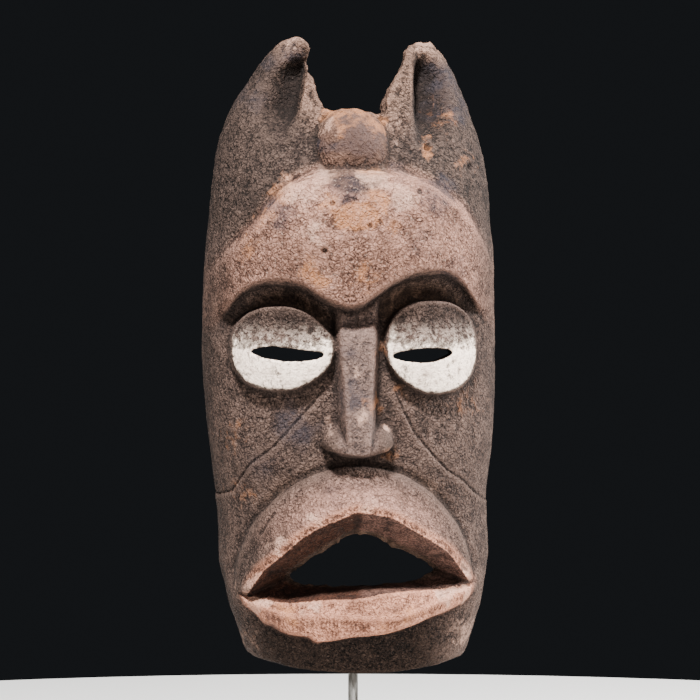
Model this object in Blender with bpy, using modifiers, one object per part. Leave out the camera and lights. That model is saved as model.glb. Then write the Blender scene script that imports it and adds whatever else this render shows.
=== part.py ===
"""A carved wooden face mask with animal ears, held up by a steel rod that stands in a block foot.

The mask is one piece of wood: a tall block rounded in front, with the face carved into it, hollowed
from behind and pierced at the eyes and the mouth. The origin is the middle of the foot's underside,
straight below the rod. The face looks along -Y and +Z is up.
"""

import math

import bmesh
import bpy
import numpy as np

# Driving dimensions, in metres
MASK_WIDTH = 0.182
MASK_HEIGHT = 0.390
MASK_DEPTH = 0.122
RIM_WALL = 0.013
FACE_WALL = 0.018
CHIN_FLOOR = 0.029
CROWN_WALL = 0.024
ROD_DIAMETER = 0.006
ROD_SHOWING = 0.060
ROD_FROM_RIM = 0.048
WOOD_ABOVE_ROD = 0.009
FOOT_WIDTH = 0.150
FOOT_DEPTH = 0.120
FOOT_HEIGHT = 0.030
FOOT_UNDER_ROD = 0.008
FOOT_BEVEL = 0.002
CLEARANCE = 0.0003

# What follows from them
HALF_WIDTH = MASK_WIDTH / 2
CHIN_HEIGHT = FOOT_HEIGHT + ROD_SHOWING
ROD_BOTTOM = FOOT_UNDER_ROD + CLEARANCE
ROD_TOP = CHIN_HEIGHT + CHIN_FLOOR - WOOD_ABOVE_ROD - CLEARANCE
BORE_RADIUS = ROD_DIAMETER / 2 + CLEARANCE

# How finely the carved faces are cut up
FACE_COLUMNS = 190
FACE_ROWS = 280
FACE_TRIANGLES = 7600
SIDE_CROWDING = 0.38
HOLLOW_SEGMENTS = 40
HOLLOW_RINGS = 22
ROUND_SIDES = 24


def across(share):
    """A place or size across the mask, as a share of half its width."""
    return np.asarray(share) * HALF_WIDTH


def up(share):
    """A height above the chin, as a share of the mask's height."""
    return np.asarray(share) * MASK_HEIGHT


def out(share):
    """How far something stands out from the rim plane, as a share of the mask's depth."""
    return np.asarray(share) * MASK_DEPTH


# The block: half width, depth on the centreline and lean to the right, from chin to ear tips
OUTLINE = (
    (0.0, 0.66), (0.01, 0.715), (0.03, 0.752), (0.051, 0.776), (0.076, 0.81), (0.101, 0.845),
    (0.13, 0.875), (0.169, 0.917), (0.218, 0.921), (0.269, 0.921), (0.321, 0.948), (0.372, 0.975),
    (0.45, 0.995), (0.5, 1.0), (0.6, 0.995), (0.651, 0.986), (0.703, 0.963), (0.754, 0.948),
    (0.804, 0.921), (0.855, 0.866), (0.905, 0.777), (0.956, 0.66), (0.981, 0.597), (0.994, 0.54),
    (1.0, 0.45),
)
LEAN = (
    (0.0, 0.038), (0.1, 0.026), (0.2, 0.028), (0.27, 0.012), (0.38, 0.009), (0.45, 0.0), (0.7, 0.0),
    (0.78, 0.005), (0.89, 0.005), (0.93, 0.024), (0.96, 0.035), (1.0, 0.042),
)
BODY_DEPTH = (
    (0.0, 0.525), (0.051, 0.59), (0.128, 0.656), (0.251, 0.689), (0.333, 0.713), (0.436, 0.705),
    (0.531, 0.689), (0.615, 0.721), (0.692, 0.738), (0.769, 0.672), (0.82, 0.574), (0.885, 0.459),
    (0.949, 0.361), (1.0, 0.279),
)
BODY_SQUARENESS = 2.6
JAW_SQUARENESS = 4.2
JAW_TOP = 0.11
CHEEK_FOOT = 0.17
CHIN_CORNER_LIFT = 0.02
CHIN_LIFT_TOP = 0.05

# The forehead stands out between the brow line and the arch above it
FOREHEAD_DEPTH = (
    (0.53, 0.79), (0.562, 0.82), (0.603, 0.852), (0.667, 0.9), (0.718, 0.892), (0.756, 0.845),
    (0.785, 0.77), (0.84, 0.62),
)
FOREHEAD_SQUARENESS = 2.4
BROW_LINE = (
    (-0.95, 0.525), (-0.868, 0.549), (-0.79, 0.577), (-0.703, 0.593), (-0.604, 0.6), (-0.478, 0.6),
    (-0.352, 0.592), (-0.247, 0.578), (-0.143, 0.566), (-0.055, 0.561), (0.037, 0.566), (0.116, 0.578),
    (0.22, 0.596), (0.352, 0.611), (0.473, 0.616), (0.611, 0.613), (0.714, 0.597), (0.784, 0.576),
    (0.868, 0.549), (0.95, 0.525),
)
BROW_EDGE = 0.009
BROW_FADE = 0.05
BROW_ENDS = (0.8, 0.92)
ARCH_LINE = (
    (-0.95, 0.64), (-0.84, 0.666), (-0.7, 0.698), (-0.56, 0.738), (-0.46, 0.76), (-0.32, 0.777),
    (-0.16, 0.788), (0.1, 0.79), (0.28, 0.784), (0.433, 0.773), (0.625, 0.748), (0.752, 0.722),
    (0.841, 0.692), (0.95, 0.645),
)
ARCH_EDGE = 0.02

# Eyes: bulging lids in sunk sockets, each with its own centre, half sizes and narrowing to the nose
LEFT_EYE = {"centre": (-0.49, 0.5045), "half": (0.349, 0.0665), "narrower_above": 0.26}
RIGHT_EYE = {"centre": (0.501, 0.5065), "half": (0.322, 0.0735), "narrower_above": 0.0}
NARROWER_BELOW = 0.2
EYE_SQUARENESS = 2.4
EYE_EDGE_RISE = 0.06
EYE_CROWN = 0.05
LID_DIP = 0.028
LID_DIP_FOOT = (0.1, 0.5)
LID_DIP_TOP = (0.55, 0.95)
SOCKET_SINK = 0.075
SOCKET_REACH = (1.0, 1.7)
LID_EDGE = (0.94, 1.02)
LEFT_SLIT = (
    (-0.715, 0.5008), (-0.641, 0.5062), (-0.553, 0.508), (-0.435, 0.5052), (-0.317, 0.501), (-0.222, 0.498),
    (-0.213, 0.4945), (-0.272, 0.489), (-0.376, 0.4847), (-0.494, 0.4853), (-0.612, 0.4905),
)
RIGHT_SLIT = (
    (0.21, 0.4934), (0.272, 0.4998), (0.361, 0.5038), (0.449, 0.5052), (0.538, 0.5052), (0.612, 0.5032),
    (0.64, 0.498), (0.582, 0.4908), (0.508, 0.4847), (0.42, 0.4827), (0.317, 0.4847), (0.258, 0.4888),
)

# Nose
NOSE_RIDGE = (
    (0.33, 0.89), (0.385, 0.872), (0.436, 0.845), (0.487, 0.812), (0.513, 0.79), (0.528, 0.772),
    (0.541, 0.74), (0.58, 0.73),
)
NOSE_HALF_WIDTH = ((0.33, 0.062), (0.37, 0.068), (0.436, 0.082), (0.5, 0.1), (0.58, 0.105))
NOSE_FOOT = 0.341
NOSE_FOOT_EDGE = 0.006
NOSE_FOOT_LIFT = 0.35
NOSE_FLANK = 0.06
WING_REACH = (0.15, 0.25)
WING_RISE = 0.16
WING_TOP = (0.352, 0.392)

# Muzzle, mouth and lower lip
MUZZLE_CENTRE = 0.128
MUZZLE_HALF = (0.8, 0.196)
MUZZLE_RISE = 0.35
MUZZLE_ROUNDNESS = 0.62
MUZZLE_EDGE = 0.01
MOUTH_STEP = 0.004
MOUTH_TOP = (
    (-0.72, 0.1238), (-0.6745, 0.1443), (-0.616, 0.165), (-0.507, 0.1873), (-0.392, 0.2128),
    (-0.276, 0.2312), (-0.147, 0.2444), (-0.02, 0.2565), (0.111, 0.252), (0.2215, 0.246), (0.342, 0.2293),
    (0.4766, 0.2109), (0.595, 0.1924), (0.677, 0.1689), (0.765, 0.1408),
)
LIP_LINE = (
    (-0.72, 0.1238), (-0.615, 0.1212), (-0.5, 0.1161), (-0.371, 0.118), (-0.242, 0.1228),
    (-0.047, 0.1235), (0.082, 0.128), (0.147, 0.1318), (0.342, 0.135), (0.553, 0.1358), (0.696, 0.14),
    (0.765, 0.1408),
)
MOUTH_OUTER = MOUTH_TOP + LIP_LINE[-2:0:-1]
MOUTH_INNER = (
    (-0.438, 0.1496), (-0.405, 0.158), (-0.367, 0.1653), (-0.269, 0.1841), (-0.19, 0.196), (-0.12, 0.2055),
    (-0.07, 0.214), (-0.01, 0.2195), (0.06, 0.218), (0.13, 0.2125), (0.2215, 0.2009), (0.34, 0.188),
    (0.43, 0.1765), (0.48, 0.167), (0.516, 0.1604), (0.46, 0.1545), (0.4, 0.149), (0.29, 0.1442),
    (0.14, 0.142), (0.06, 0.1405), (-0.05, 0.14), (-0.17, 0.1394), (-0.27, 0.1405), (-0.336, 0.142),
    (-0.4, 0.146),
)
MOUTH_OVERRUN = 0.3
LIP_UNDERSIDE = (
    (-0.79, 0.122), (-0.727, 0.105), (-0.662, 0.0943), (-0.616, 0.082), (-0.552, 0.0744), (-0.481, 0.0653),
    (-0.391, 0.0601), (-0.32, 0.0576), (-0.28, 0.0518), (-0.209, 0.0518), (-0.06, 0.0579), (0.096, 0.0617),
    (0.181, 0.064), (0.347, 0.0754), (0.483, 0.0871), (0.625, 0.0993), (0.755, 0.117), (0.8, 0.128),
)
LIP_CREASE = (
    (-0.78, 0.121), (-0.661, 0.1123), (-0.563, 0.103), (-0.468, 0.0978), (-0.373, 0.097), (-0.081, 0.097),
    (0.05, 0.0945), (0.277, 0.0977), (0.41, 0.107), (0.553, 0.118), (0.658, 0.127), (0.766, 0.1355),
)
LIP_MIDDLE = 0.01
LIP_HALF_WIDTH = 0.83
LIP_CORNER_DEPTH = 0.46
LIP_REACH = 0.44
LIP_ROUNDNESS = 0.7
LIP_FACET = 0.043
LIP_FALL_ABOVE = 0.045
LIP_FALL_BELOW = 0.02
LIP_END = 0.08
LIP_EDGE = 0.008

# Knob between the ears
KNOB_CENTRE = (-0.02, 0.807)
KNOB_HALF = (0.245, 0.071)
KNOB_DEPTH = 0.5
KNOB_RISE = 0.225
KNOB_SQUARENESS = 2.3

# Ears: the gap between them, the scoop in the front of each and the lean of their backs
EAR_GAP = (
    (-0.36, 1.02), (-0.36, 1.0), (-0.33, 0.994), (-0.29, 0.984), (-0.28, 0.977), (-0.305, 0.962),
    (-0.3, 0.941), (-0.272, 0.928), (-0.246, 0.905), (-0.2055, 0.88), (-0.13, 0.874), (0.0, 0.877),
    (0.13, 0.87), (0.212, 0.871), (0.226, 0.896), (0.266, 0.918), (0.32, 0.94), (0.36, 0.959),
    (0.367, 0.9745), (0.401, 0.984), (0.468, 0.991), (0.536, 0.989), (0.59, 1.02),
)
LEFT_SCOOP = {
    "foot": (0.825, 0.895),
    "crease": ((0.847, 0.466), (0.862, 0.425), (0.894, 0.385), (0.925, 0.358), (0.961, 0.318)),
}
RIGHT_SCOOP = {"foot": (0.81, 0.89), "crease": ((0.8, 0.435), (0.87, 0.44), (0.93, 0.445), (0.98, 0.45))}
SCOOP_TOP = (0.93, 0.99)
SCOOP_WIDTH = ((0.82, 0.2), (0.87, 0.28), (0.92, 0.27), (0.97, 0.18))
SCOOP_WALL = 0.05
SCOOP_DEPTH = 0.17
EAR_BACK = (
    (-0.3, 0.85), (-0.02, 0.872), (0.03, 0.9), (0.08, 0.945), (0.15, 0.985), (0.22, 1.04), (-0.3, 1.04),
)

# The hollow behind the face follows this broad form, one wall thickness inside it
HOLLOW_FORM = (
    (0.05, 0.78), (0.12, 0.87), (0.18, 0.905), (0.25, 0.87), (0.33, 0.80), (0.4, 0.755), (0.5, 0.745),
    (0.6, 0.80), (0.67, 0.885), (0.72, 0.87), (0.77, 0.80), (0.85, 0.7),
)
HOLLOW_SQUARENESS = 3.5
HOLLOW_END_SPREAD = 0.8
CROWN_HEIGHT = 0.877


def ramp(value, low, high):
    """0 below low, 1 above high and a smooth rise between them."""
    share = np.clip((value - low) / (high - low), 0.0, 1.0)
    return share * share * (3 - 2 * share)


def through(stations, at):
    """A smooth curve through (place, value) stations, read at the places given."""
    places, values = np.array(stations, float).T
    slopes = np.gradient(values, places)
    at = np.clip(at, places[0], places[-1])
    i = np.clip(np.searchsorted(places, at, side="right") - 1, 0, len(places) - 2)
    gap = places[i + 1] - places[i]
    t = (at - places[i]) / gap
    start = (2 * t**3 - 3 * t**2 + 1) * values[i] + (t**3 - 2 * t**2 + t) * gap * slopes[i]
    end = (3 * t**2 - 2 * t**3) * values[i + 1] + (t**3 - t**2) * gap * slopes[i + 1]
    return start + end


def rounding(share, squareness):
    """Height of a squared-off half circle at a share of its half width."""
    inside = 1 - np.clip(np.abs(share), 0, 1) ** squareness
    return np.maximum(inside, 0) ** (1 / squareness)


def edge_share(s, t):
    """0 on the leaning middle line and 1 at the outline."""
    return (s - through(LEAN, t)) / through(OUTLINE, t)


def body(s, t):
    """Depth of the rounded block before anything is carved, squarer at the jaw than above it."""
    squareness = JAW_SQUARENESS + (BODY_SQUARENESS - JAW_SQUARENESS) * ramp(t, JAW_TOP, CHEEK_FOOT)
    return through(BODY_DEPTH, t) * rounding(edge_share(s, t), squareness)


def eye_reach(eye, s, t):
    """1 on the rim of an eye's squared-off oval, less inside it."""
    wide = (s - eye["centre"][0]) / eye["half"][0]
    high = (t - eye["centre"][1]) / eye["half"][1]
    to_nose = ramp(-wide * math.copysign(1, eye["centre"][0]), 0, 1)
    high = high / (1 - to_nose * np.where(high > 0, eye["narrower_above"], NARROWER_BELOW))
    return (np.abs(wide) ** EYE_SQUARENESS + np.abs(high) ** EYE_SQUARENESS) ** (1 / EYE_SQUARENESS)


def with_sockets(depth, s, t):
    for eye in (LEFT_EYE, RIGHT_EYE):
        above = ramp(t, eye["centre"][1], eye["centre"][1] + eye["half"][1])
        depth = depth - SOCKET_SINK * above * (1 - ramp(eye_reach(eye, s, t), *SOCKET_REACH))
    return depth


def with_forehead(depth, s, t):
    """The forehead overhangs the sockets at the brow line and ends above in a rounded arch."""
    arch = through(ARCH_LINE, s)
    brow = through(BROW_LINE, s)
    edge = BROW_EDGE + BROW_FADE * ramp(np.abs(s), *BROW_ENDS)
    inside = ramp(t - brow, 0, edge) * ramp(arch - t, 0, ARCH_EDGE)
    forehead = through(FOREHEAD_DEPTH, t) * rounding(edge_share(s, t), FOREHEAD_SQUARENESS)
    return depth + inside * np.maximum(forehead - depth, 0)


def with_eyes(depth, uncarved, s, t):
    for eye in (LEFT_EYE, RIGHT_EYE):
        reach = eye_reach(eye, s, t)
        crown = EYE_CROWN * np.maximum(1 - reach**2, 0)
        half_up = (t - eye["centre"][1]) / eye["half"][1]
        dip = LID_DIP * ramp(half_up, *LID_DIP_FOOT) * (1 - ramp(half_up, *LID_DIP_TOP))
        lid = uncarved + EYE_EDGE_RISE + crown - dip
        depth = depth + (1 - ramp(reach, *LID_EDGE)) * (lid - depth)
    return depth


def with_muzzle(depth, s, t):
    reach = (s / MUZZLE_HALF[0]) ** 2 + ((t - MUZZLE_CENTRE) / MUZZLE_HALF[1]) ** 2
    rise = MUZZLE_RISE * np.maximum(1 - reach, 0) ** MUZZLE_ROUNDNESS
    return depth + rise * ramp(t - through(LIP_LINE, s), 0, MUZZLE_EDGE)


def with_lower_lip(depth, s, t):
    share = np.clip((s - LIP_MIDDLE) / LIP_HALF_WIDTH, -1, 1)
    crease = through(LIP_CREASE, s)
    underside = through(LIP_UNDERSIDE, s)
    top = through(LIP_LINE, s)
    lip = LIP_CORNER_DEPTH + LIP_REACH * (1 - share**2) ** LIP_ROUNDNESS
    above = (t - crease) / (top - crease)
    below = (crease - t) / LIP_FACET
    lip = lip - LIP_FALL_ABOVE * np.maximum(above, 0) - LIP_FALL_BELOW * np.maximum(below, 0)
    inside = ramp(t - underside, 0, LIP_EDGE) * (1 - ramp(t - top, MOUTH_STEP, MOUTH_STEP + LIP_EDGE))
    inside = inside * (1 - ramp(np.abs(share), 1 - LIP_END, 1))
    return depth + inside * np.maximum(lip - depth, 0)


def with_nose(depth, s, t):
    ridge = through(NOSE_RIDGE, t)
    half = through(NOSE_HALF_WIDTH, t)
    flank = 1 - ramp(np.abs(s), half, half + NOSE_FLANK)
    above_foot = ramp(t - NOSE_FOOT_LIFT * s**2, NOSE_FOOT - NOSE_FOOT_EDGE, NOSE_FOOT)
    brow = through(BROW_LINE, s)
    below_brow = 1 - ramp(t, brow - BROW_EDGE, brow + BROW_EDGE)
    nose = depth + flank * np.maximum(ridge - depth, 0)
    wing = (1 - ramp(np.abs(s), *WING_REACH)) * (1 - ramp(t, *WING_TOP))
    nose = np.maximum(nose, depth + WING_RISE * wing)
    return depth + above_foot * below_brow * (nose - depth)


def with_knob(depth, s, t):
    wide = np.abs((s - KNOB_CENTRE[0]) / KNOB_HALF[0]) ** KNOB_SQUARENESS
    high = np.abs((t - KNOB_CENTRE[1]) / KNOB_HALF[1]) ** KNOB_SQUARENESS
    reach = wide + high
    knob = KNOB_DEPTH + KNOB_RISE * np.maximum(1 - reach, 0) ** (1 / KNOB_SQUARENESS)
    return np.where(reach < 1, np.maximum(depth, knob), depth)


def with_scoops(depth, s, t):
    """Each ear's front falls steeply from its inner flap and rises slowly to the outer edge."""
    for side, scoop in ((-1, LEFT_SCOOP), (1, RIGHT_SCOOP)):
        beyond = side * s - through(scoop["crease"], t)
        wall = ramp(beyond, -SCOOP_WALL, 0)
        slope = 1 - ramp(beyond, 0, through(SCOOP_WIDTH, t))
        height = ramp(t, *scoop["foot"]) * (1 - ramp(t, *SCOOP_TOP))
        depth = depth - SCOOP_DEPTH * wall * slope * height
    return depth


def front(s, t):
    """How far the carved front stands out from the rim plane, all in shares."""
    uncarved = body(s, t)
    depth = with_sockets(uncarved, s, t)
    depth = with_forehead(depth, s, t)
    depth = with_eyes(depth, uncarved, s, t)
    depth = with_muzzle(depth, s, t)
    depth = with_lower_lip(depth, s, t)
    depth = with_nose(depth, s, t)
    depth = with_scoops(depth, s, t)
    depth = with_knob(depth, s, t)
    return np.where(uncarved > 0, np.maximum(depth, 0), 0)


def in_row_frame(x, z, depth):
    """Metres across, above the chin and out of the rim plane, turned into points of the whole object."""
    return np.stack([x, ROD_FROM_RIM - np.asarray(depth), z + CHIN_HEIGHT], axis=-1)


def collection_named(name):
    made = bpy.data.collections.new(name)
    bpy.context.scene.collection.children.link(made)
    return made


def object_from(name, bm, collection):
    mesh = bpy.data.meshes.new(name)
    bmesh.ops.recalc_face_normals(bm, faces=bm.faces)
    bm.to_mesh(mesh)
    bm.free()
    made = bpy.data.objects.new(name, mesh)
    collection.objects.link(made)
    return made


def section_shares(columns):
    """(across, out) shares round half a section, closer together in front than on the sides."""
    angle = np.linspace(0, math.pi / 2, FACE_COLUMNS * 10)
    x = np.sin(angle) ** (2 / BODY_SQUARENESS)
    y = np.cos(angle) ** (2 / BODY_SQUARENESS)
    length = np.concatenate([[0], np.cumsum(np.hypot(np.diff(x), np.diff(y)))])
    share = np.abs(np.linspace(-1, 1, columns + 1))
    wanted = length[-1] * ((1 - SIDE_CROWDING) * share + SIDE_CROWDING * share**3)
    side = np.sign(np.linspace(-1, 1, columns + 1))
    return side * np.interp(wanted, length, x)


def carved_block(collection):
    """The block with its carved front, a flat back at the rim plane and a flat crown and chin."""
    bm = bmesh.new()
    bmesh.ops.create_grid(bm, x_segments=FACE_COLUMNS, y_segments=FACE_ROWS, size=1)
    bm.verts.ensure_lookup_table()
    flat = np.array([v.co for v in bm.verts])
    column = np.rint((flat[:, 0] + 1) / 2 * FACE_COLUMNS).astype(int)
    row = np.rint((flat[:, 1] + 1) / 2 * FACE_ROWS).astype(int)
    level = row / FACE_ROWS
    share = section_shares(FACE_COLUMNS)[column]
    s = share * through(OUTLINE, level) + through(LEAN, level)
    lift = CHIN_CORNER_LIFT * share**2 * np.maximum(1 - level / CHIN_LIFT_TOP, 0) ** 2
    t = level + lift
    depth = front(s, level)
    points = in_row_frame(across(s), up(t), out(depth))
    for vertex, point in zip(bm.verts, points):
        vertex.co = point
    grid = {(c, r): vertex for c, r, vertex in zip(column, row, bm.verts)}
    bm.faces.new([grid[c, 0] for c in range(FACE_COLUMNS + 1)])
    bm.faces.new([grid[c, FACE_ROWS] for c in range(FACE_COLUMNS + 1)])
    left = [grid[0, r] for r in range(FACE_ROWS + 1)]
    right = [grid[FACE_COLUMNS, r] for r in range(FACE_ROWS + 1)]
    bm.faces.new(left + right[::-1])
    return object_from("mask", bm, collection)


def as_cutter(made):
    made.hide_render = True
    made.display_type = "WIRE"
    return made


def cut(target, cutter):
    modifier = target.modifiers.new("cut " + cutter.name, "BOOLEAN")
    modifier.operation = "DIFFERENCE"
    modifier.object = cutter


def hollow_span():
    """The middle of the hollow above the chin and half its height, in metres."""
    ceiling = float(up(CROWN_HEIGHT)) - CROWN_WALL
    return (CHIN_FLOOR + ceiling) / 2, (ceiling - CHIN_FLOOR) / 2


def hollow_cutter(collection):
    """An egg-shaped hollow, open behind, that follows the face one wall thickness inside it."""
    middle, half = hollow_span()
    bm = bmesh.new()
    bmesh.ops.create_uvsphere(bm, u_segments=HOLLOW_SEGMENTS, v_segments=HOLLOW_RINGS, radius=1)
    for vertex in bm.verts:
        unit = vertex.co.copy()
        height = math.copysign(abs(unit.z) ** HOLLOW_END_SPREAD, unit.z)
        closing = float(rounding(height, HOLLOW_SQUARENESS))
        z = middle + half * height
        t = z / MASK_HEIGHT
        middle_line = float(across(through(LEAN, t)))
        wide = (float(across(through(OUTLINE, t))) - RIM_WALL) * closing
        deep = (float(out(through(HOLLOW_FORM, t))) - FACE_WALL) * closing
        angle = math.atan2(unit.x, -unit.y)
        power = 2 / BODY_SQUARENESS
        x = middle_line + wide * math.copysign(abs(math.sin(angle)) ** power, unit.x)
        forward = math.cos(angle)
        depth = deep * forward**power if forward > 0 else RIM_WALL * forward
        vertex.co = in_row_frame(x, z, depth)
    return as_cutter(object_from("hollow", bm, collection))


def hollow_depth(s, t):
    """How deep the hollow is at a place on the face, in metres."""
    middle, half = hollow_span()
    closing = rounding((up(t) - middle) / half, HOLLOW_SQUARENESS)
    wide = (across(through(OUTLINE, t)) - RIM_WALL) * closing
    deep = (out(through(HOLLOW_FORM, t)) - FACE_WALL) * closing
    return deep * rounding(across(s - through(LEAN, t)) / wide, BODY_SQUARENESS)


def closed_loft(name, rings, collection):
    """A solid through rings of equally many points, each end closed by a fan from its middle."""
    bm = bmesh.new()
    loops = [[bm.verts.new(point) for point in ring] for ring in rings]
    count = len(loops[0])
    for near, far in zip(loops, loops[1:]):
        for i in range(count):
            j = (i + 1) % count
            bm.faces.new([near[i], near[j], far[j], far[i]])
    for loop, points in ((loops[0], rings[0]), (loops[-1], rings[-1])):
        middle = bm.verts.new(np.mean(points, axis=0))
        for i in range(count):
            bm.faces.new([loop[i], loop[(i + 1) % count], middle])
    return as_cutter(object_from(name, bm, collection))


def mouth_cutter(collection):
    """The mouth narrows from the lips' edges to a smaller opening in the hollow."""
    outer, inner = np.array(MOUTH_OUTER), np.array(MOUTH_INNER)
    above = outer[:, 1] - through(LIP_LINE, outer[:, 0]) > MOUTH_STEP
    beside = outer[:, 1] + np.where(above, MOUTH_STEP, -MOUTH_STEP)
    on_lips = np.stack(
        [across(outer[:, 0]), up(outer[:, 1]), out(front(outer[:, 0], beside))], axis=-1
    )
    in_hollow = np.stack(
        [across(inner[:, 0]), up(inner[:, 1]), hollow_depth(inner[:, 0], inner[:, 1])], axis=-1
    )
    in_front, beyond = on_lips.copy(), in_hollow + MOUTH_OVERRUN * (in_hollow - on_lips)
    in_front[:, 2] = MASK_DEPTH + RIM_WALL
    return closed_loft(
        "mouth", [in_row_frame(*points.T) for points in (in_front, on_lips, beyond)], collection
    )


def outline_cutter(name, outline, straight_through, collection):
    """A closed outline of (across, up) shares, pushed through from the front to behind the rim."""
    near, far = straight_through
    points = np.array(outline)
    x, z = across(points[:, 0]), up(points[:, 1])
    return closed_loft(
        name, [in_row_frame(x, z, np.full(len(x), depth)) for depth in (near, far)], collection
    )


def ear_back_cutter(collection):
    """Takes the backs of the ears forward towards their tips."""
    points = np.array(EAR_BACK)
    depth, z = out(points[:, 0]), up(points[:, 1])
    reach = HALF_WIDTH + RIM_WALL
    return closed_loft(
        "ear_backs", [in_row_frame(np.full(len(z), x), z, depth) for x in (-reach, reach)], collection
    )


def rod_bore_cutter(name, low, high, collection):
    bm = bmesh.new()
    bmesh.ops.create_cone(
        bm, cap_ends=True, segments=ROUND_SIDES, radius1=BORE_RADIUS, radius2=BORE_RADIUS, depth=high - low
    )
    bmesh.ops.translate(bm, verts=bm.verts, vec=(0, 0, (low + high) / 2))
    return as_cutter(object_from(name, bm, collection))


def paint(made, colour, roughness, metallic=0.0):
    material = bpy.data.materials.new(made.name)
    material.use_nodes = True
    shader = material.node_tree.nodes["Principled BSDF"]
    shader.inputs["Base Color"].default_value = (*colour, 1)
    shader.inputs["Roughness"].default_value = roughness
    shader.inputs["Metallic"].default_value = metallic
    made.data.materials.append(material)


def with_fewer_faces(made, triangles):
    made_of = sum(len(face.vertices) - 2 for face in made.data.polygons)
    modifier = made.modifiers.new("fewer faces", "DECIMATE")
    modifier.ratio = triangles / made_of


def build_mask(parts, cutters):
    mask = carved_block(parts)
    with_fewer_faces(mask, FACE_TRIANGLES)
    through_all = (MASK_DEPTH + RIM_WALL, -RIM_WALL)
    cut(mask, outline_cutter("ear_gap", EAR_GAP, through_all, cutters))
    cut(mask, ear_back_cutter(cutters))
    cut(mask, hollow_cutter(cutters))
    cut(mask, mouth_cutter(cutters))
    in_front = MASK_DEPTH + RIM_WALL
    cut(mask, outline_cutter("left_slit", LEFT_SLIT, (in_front, RIM_WALL), cutters))
    cut(mask, outline_cutter("right_slit", RIGHT_SLIT, (in_front, RIM_WALL), cutters))
    below_chin = CHIN_HEIGHT - RIM_WALL
    cut(mask, rod_bore_cutter("chin_bore", below_chin, ROD_TOP + CLEARANCE, cutters))
    mask.data.shade_smooth()
    mask.data.set_sharp_from_angle(angle=math.radians(40))
    paint(mask, (0.24, 0.17, 0.125), 0.85)


def build_rod(parts):
    bm = bmesh.new()
    bmesh.ops.create_cone(
        bm,
        cap_ends=True,
        segments=ROUND_SIDES,
        radius1=ROD_DIAMETER / 2,
        radius2=ROD_DIAMETER / 2,
        depth=ROD_TOP - ROD_BOTTOM,
    )
    bmesh.ops.translate(bm, verts=bm.verts, vec=(0, 0, (ROD_TOP + ROD_BOTTOM) / 2))
    rod = object_from("rod", bm, parts)
    rod.data.shade_smooth()
    rod.data.set_sharp_from_angle(angle=math.radians(40))
    paint(rod, (0.33, 0.32, 0.30), 0.35, 1.0)


def build_foot(parts, cutters):
    bm = bmesh.new()
    bmesh.ops.create_cube(bm, size=1)
    bmesh.ops.scale(bm, verts=bm.verts, vec=(FOOT_WIDTH, FOOT_DEPTH, FOOT_HEIGHT))
    bmesh.ops.translate(bm, verts=bm.verts, vec=(0, 0, FOOT_HEIGHT / 2))
    foot = object_from("foot", bm, parts)
    bevel = foot.modifiers.new("rounded edges", "BEVEL")
    bevel.width = FOOT_BEVEL
    bevel.segments = 3
    cut(foot, rod_bore_cutter("foot_bore", ROD_BOTTOM - CLEARANCE, FOOT_HEIGHT + RIM_WALL, cutters))
    paint(foot, (0.02, 0.019, 0.018), 0.45)


def main():
    for made in list(bpy.data.objects):
        bpy.data.objects.remove(made)
    parts = collection_named("mask on a stand")
    cutters = collection_named("cutters")
    build_mask(parts, cutters)
    build_rod(parts)
    build_foot(parts, cutters)


main()
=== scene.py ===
"""A carved wooden face mask with animal ears, on a steel rod in a block foot."""

import math

import bmesh
import bpy
import numpy as np
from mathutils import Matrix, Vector, noise


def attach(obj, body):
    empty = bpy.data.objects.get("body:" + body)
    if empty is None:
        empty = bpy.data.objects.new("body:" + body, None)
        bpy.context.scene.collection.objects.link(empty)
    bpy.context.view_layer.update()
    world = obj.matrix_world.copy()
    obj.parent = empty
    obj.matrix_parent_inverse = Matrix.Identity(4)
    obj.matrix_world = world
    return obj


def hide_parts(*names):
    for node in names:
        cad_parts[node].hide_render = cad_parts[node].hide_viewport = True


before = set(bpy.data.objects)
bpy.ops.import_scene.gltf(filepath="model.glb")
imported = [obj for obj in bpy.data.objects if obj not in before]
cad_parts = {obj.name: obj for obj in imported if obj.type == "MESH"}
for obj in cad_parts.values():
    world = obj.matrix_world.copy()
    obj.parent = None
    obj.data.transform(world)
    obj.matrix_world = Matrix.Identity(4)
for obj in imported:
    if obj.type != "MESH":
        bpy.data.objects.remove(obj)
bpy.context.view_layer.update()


# The mask: one block of wood, adzed round in front, hollowed from behind and pierced at the eyes and mouth.
# Age and handling have left it grey-brown and crusted, the lids are rubbed with white kaolin,
# and the lips and worn spots show the red-brown wood.

HALF_WIDTH = 0.091
MASK_HEIGHT = 0.390
MASK_DEPTH = 0.122
CHIN_HEIGHT = 0.090
RIM_BEHIND = 0.048
RIM_WALL = 0.013
FACE_WALL = 0.018
CHIN_FLOOR = 0.029
CROWN_WALL = 0.024
BORE_TOP = 0.110
BORE_RADIUS = 0.0033

OUTLINE = (
    (0.0, 0.66), (0.01, 0.715), (0.03, 0.752), (0.051, 0.776), (0.076, 0.81), (0.101, 0.845),
    (0.13, 0.875), (0.169, 0.917), (0.218, 0.921), (0.269, 0.921), (0.321, 0.948), (0.372, 0.975),
    (0.45, 0.995), (0.5, 1.0), (0.6, 0.995), (0.651, 0.986), (0.703, 0.963), (0.754, 0.948),
    (0.804, 0.921), (0.855, 0.866), (0.905, 0.777), (0.956, 0.66), (0.981, 0.597), (0.994, 0.54),
    (1.0, 0.45),
)
LEAN = (
    (0.0, 0.038), (0.1, 0.026), (0.2, 0.028), (0.27, 0.012), (0.38, 0.009), (0.45, 0.0), (0.7, 0.0),
    (0.78, 0.005), (0.89, 0.005), (0.93, 0.024), (0.96, 0.035), (1.0, 0.042),
)
BODY_SQUARENESS = 2.6
JAW_SQUARENESS = 4.2
JAW_TOP = 0.11
CHEEK_FOOT = 0.17
CHIN_CORNER_LIFT = 0.02
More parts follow.
